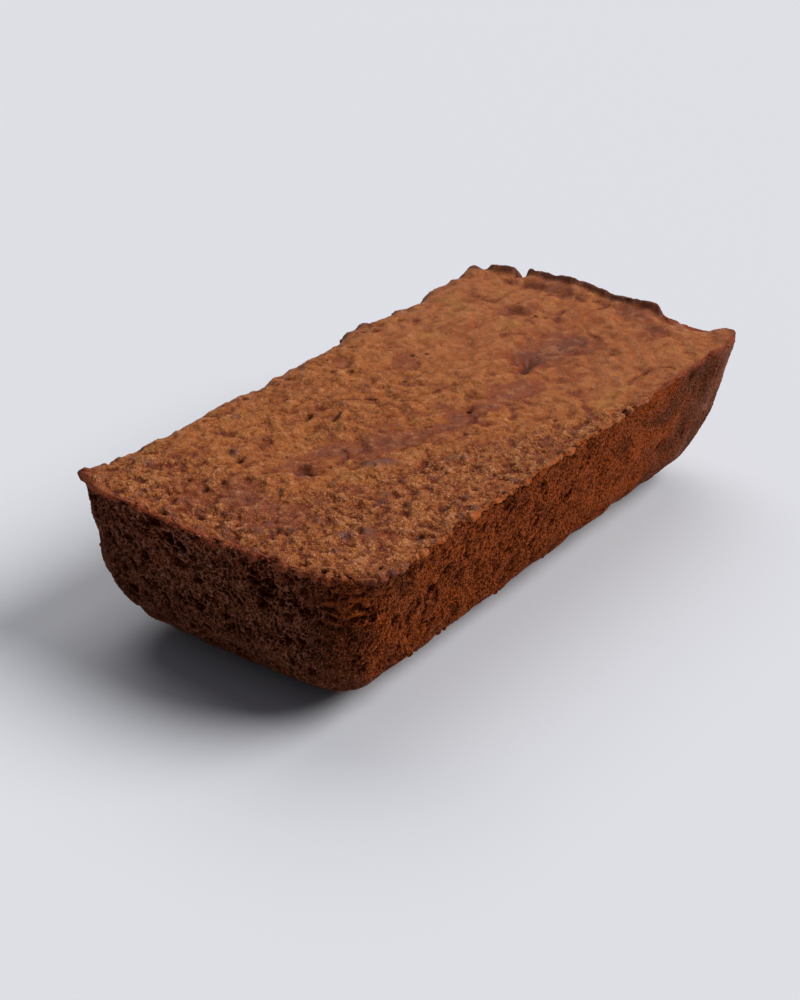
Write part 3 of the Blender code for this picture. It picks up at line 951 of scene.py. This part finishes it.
def top_crust(name, side, material):
    """Half of the browned top, towards the near end (side -1) or the far one (1), with the lip
    that folds over its rim, closed to a point inside."""
    mesh = crust_grid(name, side)
    grid = places_of(mesh)
    inner = grid[:, 2] == INNER_FLAG
    lap = SEAM_LAP / (RIM_LENGTH / 2)
    u = grid[:, 0] * (1 + lap) - (1 if side < 0 else lap)
    v = 2 * grid[:, 1] - 1
    out = rim_share(u, v)
    sink = seam_sink(-side * u * RIM_LENGTH / 2)
    down = np.clip(-grid[:, 2] / LIP_RINGS, 0.0, 1.0)
    folded = ramp(down, 0.0, 0.2)

    rim_x, rim_y = section_place(u, v, np.full_like(u, RIM_HEIGHT))
    flat = np.zeros_like(u)
    ragged = layered(rim_x, rim_y, flat, LIP_RAGS)
    ragged *= 1 - LIP_FAR_CALM * ramp(rim_x, 0.080, 0.100)
    on_edge = ramp(out, 1 - TOP_EDGE_BAND, 1.0)
    edge = top_height(rim_x, rim_y) + LIP_RAG_RISE * on_edge * ragged
    near_end = ramp(-rim_x, 0.100, 0.108)
    near_corner = near_place(rim_x, rim_y, LEDGE_PLACE, LIP_CORNER_REACH)
    by_ear = near_place(rim_x, rim_y, EAR_PLACE, EAR_REACH)
    wrap = near_end * ramp(-rim_y, 0.004, 0.040)
    band = LIP_LEAST + LIP_NEAR_END * near_end + LIP_WRAP * wrap
    band = LIP_BAND * (band + LIP_CORNER * near_corner + LIP_EAR * by_ear)
    band *= 1 + layered(rim_x, rim_y, flat, LIP_UNEVEN)
    depth = np.maximum(band, LIP_BAND_LEAST) * down
    z = edge - depth - sink
    x, y = section_place(u, v, z)
    lip = LIP_BULGE * swell(depth - LIP_DEPTH, LIP_FADE) * (1 - LIP_CORNER_CALM * near_corner)
    inset = LIP_INSET * (1 - ramp(depth, 0.0, LIP_DEPTH))
    tuck = LIP_TUCK * ramp(down, LIP_TUCK_FROM, 1.0)
    knob = swell(depth - EAR_KNOB_DEPTH, EAR_KNOB_DEPTH) - EAR_NECK * swell(depth, EAR_KNOB_DEPTH)
    push = lip - inset - tuck + LIP_WANDER * ragged * (1 - by_ear) + by_ear * EAR_KNOB * knob
    push += (1 - EAR_PUSH_CALM * by_ear) * ear_push(rim_x, rim_y, depth)
    x, y = pushed_out(x, y, on_edge * (push - sink))
    set_places(mesh, np.column_stack([x, y, z]))

    normals = normals_of(mesh)
    by_rim = np.maximum(ramp(out, 0.955, 0.985), folded)
    spread = rim_x - normals[:, 0] * depth, rim_y - normals[:, 1] * depth
    damp = moisture(rim_x, rim_y)
    rise, pit, lump, tone, rubble = top_relief(*spread, by_rim * (1 - by_ear), damp)
    calm = FAR_RIM_CALM * ramp(out, 0.90, 1.0) * ramp(rim_y, 0.020, 0.045)
    calm = np.maximum(calm, EAR_CALM * by_ear)
    rise = rise * (1 - FOLD_CALM * ramp(down, 0.6, 1.0)) * (1 - calm)
    places = np.column_stack([x, y, z]) + normals * rise[:, None]
    places[inner] = INNER_PLACE
    set_places(mesh, places)
    rim = rim_tone(rim_x, rim_y, out, ragged, folded, wrap)
    wet = WET_LUMPS * lump + WET_DAMP * ramp(damp, 0.7, 1.8)
    store(mesh, pit=pit, lump=lump, tone=tone, rim=rim, rubble=rubble)
    store(mesh, damp=damp, wet=wet, burnt=burnt_share(rim_x, rim_y))
    return finish_piece(mesh, name, material)


# ---------------- materials


def paint(code):
    """An sRGB hex colour as Blender's linear one."""
    parts = [int(code[at : at + 2], 16) / 255 for at in (1, 3, 5)]
    linear = [p / 12.92 if p <= 0.04045 else ((p + 0.055) / 1.055) ** 2.4 for p in parts]
    return (*linear, 1.0)


def add(tree, kind, inputs, **settings):
    """Adds a shader node with its settings. Each input, by its name or number, takes another
    node's output, a hex colour or a number."""
    node = tree.nodes.new(kind)
    for name, value in settings.items():
        setattr(node, name, value)
    for name, value in inputs.items():
        if isinstance(value, bpy.types.NodeSocket):
            tree.links.new(value, node.inputs[name])
        else:
            node.inputs[name].default_value = paint(value) if isinstance(value, str) else value
    return node


def blank_material(name):
    material = bpy.data.materials.new(name)
    material.use_nodes = True
    tree = material.node_tree
    return material, tree, tree.nodes["Principled BSDF"]


# The colours of a finish, each laid over the last. What says where one lies is a field of the
# material's own, a number that the mesh keeps, or the size of its dapples. It starts at the second
# number and is full at the third, which may be the lower one, and the fourth says how well it then
# covers.
CRUMB_COLOUR = "#923a02"
CRUMB_LAYERS = [
    ("far", 0.66, 0.98, 0.85, "#8e6656"),
    # Darker and less orange where the crumb is less warm, most on the near end.
    ("warm", 0.75, 0.05, 0.95, "#32150d"),
    ("below_rim", 0.42, 0.0, 0.7, "#6c2812"),
    (5.0 * MM, 0.46, 0.66, 0.35, "#5e2a10"),
    (2.4 * MM, 0.52, 0.66, 0.55, "#621a00"),
    # Painted light on the skins of the cut cells and painted shade in their hollows.
    ("cells", 0.12, 0.01, 0.7, "#98522e"),
    ("cells", 0.07, 0.3, 0.9, "#3a0b00"),
    # Pale specks: painted glints on the crumb, whose own shine is kept low.
    (0.40 * MM, 0.55, 0.64, 0.5, "#96562c"),
    # Painted light on the raised skins.
    ("ridge", 0.4, 0.95, 0.85, "#94604a"),
    ("ledge", 0.1, 0.7, 0.7, "#964614"),
    # Painted shade in the bubbles, caves, torn places and grooves.
    ("pit", 0.1, 0.8, 0.95, "#340800"),
]
CRUST_COLOUR = "#9c5a26"
CRUST_LAYERS = [
    ("rubble", 0.5, 0.26, 0.45, "#935430"),
    (14 * MM, 0.46, 0.64, 0.5, "#8a481b"),
    # The damp layers: the crust's own moist and dry patches, with painted shade in the crack and
    # hollows and painted light on a dome's edge.
    ("damp", -0.15, -1.2, 0.6, "#9c682e"),
    ("damp", 0.1, 1.2, 0.85, "#743413"),
    ("damp", 1.6, 2.7, 0.75, "#5a2710"),
    (2.3 * MM, 0.52, 0.64, 0.45, "#7e340c"),
    (3.6 * MM, 0.54, 0.66, 0.4, "#a96b3c"),
    # Painted light on raised crumbs and swells and painted shade in their gaps and creases, with their
    # own tone.
    ("tone", 0.5, 1.0, 0.7, "#b97a50"),
    ("tone", 0.5, 0.0, 0.95, "#602204"),
    # Painted shade in the gaps between the grains.
    ("grains", 0.12, 0.01, 0.6, "#5e2003"),
    (0.45 * MM, 0.53, 0.63, 0.35, "#742d08"),
    # Painted glints: pale specks that stand for light glinting on the grains.
    ("glints", 0.69, 0.76, 0.65, "#d4a184"),
    ("lump", 0.1, 0.9, 0.8, "#603224"),
    ("rim", 0.0, 1.0, 0.8, "#742a12"),
    # A painted highlight along the near half of the near side's rim.
    ("rim", 0.0, -0.6, 0.65, "#a24c12"),
    # The browned runs and pieces, with painted shade beside the runs.
    ("burnt", 0.0, 1.0, 0.9, "#54291b"),
    # Painted shade in the pits.
    ("pit", 0.0, 1.0, 0.9, "#3e1002"),
]
CELL_SIZE = (0.95 * MM, 0.95 * MM, 1.40 * MM)  # the smallest bubbles, cut open
CELL_LEAN = math.atan(BUBBLE_LEAN)
CELL_SKIN = 0.30
CELL_STRAY = (1.3 * MM, 1.1 * MM)
FAR_CELLS = (0.60, 0.10)  # towards the far end they close this far, to this distance from a skin
GRAIN_SIZE = 1.00 * MM
GRAIN_GAP = 0.20
GRAIN_STRAY = (1.1 * MM, 1.2 * MM)
GAPS_CLOSED = (-0.16, 0.15)  # by how crumbly the crust is, and where it isn't
# The painted glints' size, and how many more of them the crumbly part gets.
GLINT_SIZE = 0.50 * MM
RUBBLE_GLINTS = 0.06
DETAIL = 2.0
SPOT_SIZE = 0.9 * MM
SPOT_LIMITS = (0.42, 0.58)
FINE_SIZE = 0.45 * MM
BUMP_STRENGTH = 0.9
CRUMB_BUMP = 0.35 * MM
CRUST_BUMP = 0.22 * MM
CRUMB_GLOSS = (0.30, 0.80, 0.04)  # the least and most roughness and the specular level
CRUST_GLOSS = (0.28, 0.85, 0.14)
WET_ROUGHNESS = 0.28


def laid_over(tree, at, colour, layers, fields):
    """The colour with its layers laid over it."""
    for source, low, high, cover, over in layers:
        if source in fields:
            value = fields[source]
        elif isinstance(source, str):
            value = add(tree, "ShaderNodeAttribute", {}, attribute_name=source).outputs["Fac"]
        else:
            dapples = {"Vector": at, "Scale": 1 / source, "Detail": DETAIL}
            value = add(tree, "ShaderNodeTexNoise", dapples).outputs["Fac"]
        limits = {"Value": value, "From Min": low, "From Max": high, "To Max": cover}
        share = add(tree, "ShaderNodeMapRange", limits, interpolation_type="SMOOTHSTEP")
        shades = {0: share.outputs["Result"], 6: colour, 7: over}
        colour = add(tree, "ShaderNodeMix", shades, data_type="RGBA").outputs[2]
    return colour


def strayed(tree, at, span, reach):
    """The place moved about by up to a reach, in dapples of this span."""
    dapples = {"Vector": at, "Scale": 1 / span, "Detail": DETAIL}
    stray = add(tree, "ShaderNodeTexNoise", dapples).outputs["Color"]
    shift = {0: stray, 1: (reach, reach, reach), 2: at}
    return add(tree, "ShaderNodeVectorMath", shift, operation="MULTIPLY_ADD").outputs[0]


def surface(tree, shader, at, height, relief, gloss):
    """Damp and dry spots about a millimetre wide, and a relief too fine for the mesh."""
    least, most, level = gloss
    low, high = SPOT_LIMITS
    dapples = {"Vector": at, "Scale": 1 / SPOT_SIZE, "Detail": DETAIL}
    damp = add(tree, "ShaderNodeTexNoise", dapples).outputs["Fac"]
    limits = {"Value": damp, "From Min": low, "From Max": high, "To Min": least, "To Max": most}
    rough = add(tree, "ShaderNodeMapRange", limits, interpolation_type="SMOOTHSTEP")
    tree.links.new(rough.outputs["Result"], shader.inputs["Roughness"])
    shader.inputs["Specular IOR Level"].default_value = level
    dapples = {"Vector": at, "Scale": 1 / FINE_SIZE, "Detail": DETAIL}
    fine = add(tree, "ShaderNodeTexNoise", dapples).outputs["Fac"]
    both = add(tree, "ShaderNodeMath", {0: fine, 1: height}, operation="ADD").outputs[0]
    raised = {"Height": both, "Strength": BUMP_STRENGTH, "Distance": relief}
    bump = add(tree, "ShaderNodeBump", raised)
    tree.links.new(bump.outputs["Normal"], shader.inputs["Normal"])


def crumb_material():
    """Banana bread crumb, browned against the tin: a net of thin, moist skins, made paler with painted
    light, round dark red bubbles that painted shade makes darker still."""
    material, tree, shader = blank_material("browned_crumb")
    at = add(tree, "ShaderNodeTexCoord", {}).outputs["Object"]
    bent = strayed(tree, at, *CELL_STRAY)
    lean = {"Vector": bent, "Rotation": (0.0, CELL_LEAN, 0.0), "Scale": CELL_SIZE}
    turned = add(tree, "ShaderNodeMapping", lean, vector_type="TEXTURE")
    sides = {"Vector": turned.outputs["Vector"], "Scale": 1.0}
    cells = add(tree, "ShaderNodeTexVoronoi", sides, feature="DISTANCE_TO_EDGE").outputs["Distance"]
    far = add(tree, "ShaderNodeAttribute", {}, attribute_name="far").outputs["Fac"]
    share, closed = FAR_CELLS
    close = add(tree, "ShaderNodeMath", {0: far, 1: share}, operation="MULTIPLY").outputs[0]
    cells = add(tree, "ShaderNodeMix", {0: close, 2: cells, 3: closed}).outputs[0]
    colour = laid_over(tree, at, CRUMB_COLOUR, CRUMB_LAYERS, {"cells": cells})
    tree.links.new(colour, shader.inputs["Base Color"])
    skins = {"Value": cells, "From Max": CELL_SKIN, "To Min": 1.0, "To Max": 0.0}
    height = add(tree, "ShaderNodeMapRange", skins).outputs["Result"]
    surface(tree, shader, at, height, CRUMB_BUMP, CRUMB_GLOSS)
    return material


def crust_material():
    """The baked top crust: brown, sugary and a little moist, crumbly in places, with painted shade in
    the gaps between its grains and painted glints, pale specks, on them."""
    material, tree, shader = blank_material("baked_top_crust")
    at = add(tree, "ShaderNodeTexCoord", {}).outputs["Object"]
    sides = {"Vector": strayed(tree, at, *GRAIN_STRAY), "Scale": 1 / GRAIN_SIZE}
    grains = add(tree, "ShaderNodeTexVoronoi", sides, feature="DISTANCE_TO_EDGE").outputs["Distance"]
    rubble = add(tree, "ShaderNodeAttribute", {}, attribute_name="rubble").outputs["Fac"]
    by_rubble, elsewhere = GAPS_CLOSED
    closing = {0: rubble, 1: by_rubble, 2: elsewhere}
    smooth = add(tree, "ShaderNodeMath", closing, operation="MULTIPLY_ADD").outputs[0]
    closed = add(tree, "ShaderNodeMath", {0: grains, 1: smooth}, operation="ADD").outputs[0]
    dapples = {"Vector": at, "Scale": 1 / GLINT_SIZE, "Detail": DETAIL}
    specks = add(tree, "ShaderNodeTexNoise", dapples).outputs["Fac"]
    glinting = {0: rubble, 1: RUBBLE_GLINTS, 2: specks}
    glints = add(tree, "ShaderNodeMath", glinting, operation="MULTIPLY_ADD").outputs[0]
    fields = {"grains": closed, "glints": glints}
    colour = laid_over(tree, at, CRUST_COLOUR, CRUST_LAYERS, fields)
    tree.links.new(colour, shader.inputs["Base Color"])
    gaps = {"Value": closed, "From Max": GRAIN_GAP}
    height = add(tree, "ShaderNodeMapRange", gaps).outputs["Result"]
    surface(tree, shader, at, height, CRUST_BUMP, CRUST_GLOSS)
    wet = add(tree, "ShaderNodeAttribute", {}, attribute_name="wet").outputs["Fac"]
    tree.links.new(wet, shader.inputs["Coat Weight"])
    shader.inputs["Coat Roughness"].default_value = WET_ROUGHNESS
    return material


# ---------------- stage, light and camera

FLOOR_SIZE = 8.0
FLOOR_COLOUR = "#c8c9ce"
FLOOR_ROUGHNESS = 0.9
CAMERA_PLACE = (-0.49168, -0.34557, 0.34120)
CAMERA_TURN = math.radians(-54.01)
CAMERA_DOWN = math.radians(28.36)
CAMERA_ROLL = math.radians(0.53)
CAMERA_LENS = 74.4
CAMERA_SENSOR = 36.0

# Large, far soft boxes: the direction towards each, its strength and the angle it fills.
LIGHTS = {
    "key_light": ((0.6, -0.8, 0.9), 3.5, math.radians(40)),
    "back_light": ((0.5, 0.4, 0.9), 1.5, math.radians(60)),
}
SKY_COLOUR = "#eef2ff"
SKY_STRENGTH = 0.13


def make_stage():
    form = bmesh.new()
    bmesh.ops.create_grid(form, x_segments=1, y_segments=1, size=FLOOR_SIZE / 2)
    mesh = mesh_of(form, "floor")
    floor = bpy.data.objects.new("floor", mesh)
    bpy.context.scene.collection.objects.link(floor)
    material, _, shader = blank_material("pale_matt_paint")
    shader.inputs["Base Color"].default_value = paint(FLOOR_COLOUR)
    shader.inputs["Roughness"].default_value = FLOOR_ROUGHNESS
    mesh.materials.append(material)


def make_lights():
    for name, (towards, strength, angle) in LIGHTS.items():
        light = bpy.data.lights.new(name, "SUN")
        light.energy = strength
        light.angle = angle
        lamp = bpy.data.objects.new(name, light)
        lamp.location = Vector(towards)
        lamp.rotation_euler = Vector(towards).to_track_quat("Z", "Y").to_euler()
        bpy.context.scene.collection.objects.link(lamp)
    world = bpy.data.worlds.new("studio")
    world.use_nodes = True
    background = world.node_tree.nodes["Background"]
    background.inputs["Color"].default_value = paint(SKY_COLOUR)
    background.inputs["Strength"].default_value = SKY_STRENGTH
    bpy.context.scene.world = world


def make_camera():
    lens = bpy.data.cameras.new("camera")
    lens.lens = CAMERA_LENS
    lens.sensor_width = CAMERA_SENSOR
    camera = bpy.data.objects.new("camera", lens)
    turn = Matrix.Rotation(CAMERA_TURN, 4, "Z")
    down = Matrix.Rotation(math.pi / 2 - CAMERA_DOWN, 4, "X")
    roll = Matrix.Rotation(CAMERA_ROLL, 4, "Z")
    camera.matrix_world = Matrix.Translation(CAMERA_PLACE) @ turn @ down @ roll
    bpy.context.scene.collection.objects.link(camera)
    bpy.context.scene.camera = camera


def main():
    bpy.context.scene.view_settings.view_transform = "Standard"
    make_camera()
    make_lights()
    make_stage()
    crumb, crust = crumb_material(), crust_material()
    top_crust("near_top_crust", -1, crust)
    top_crust("far_top_crust", 1, crust)
    crumb_walls(crumb)
    base_crumb("base_crumb", crumb)
    clinging_crumbs("clinging_crumbs", crumb)


main()
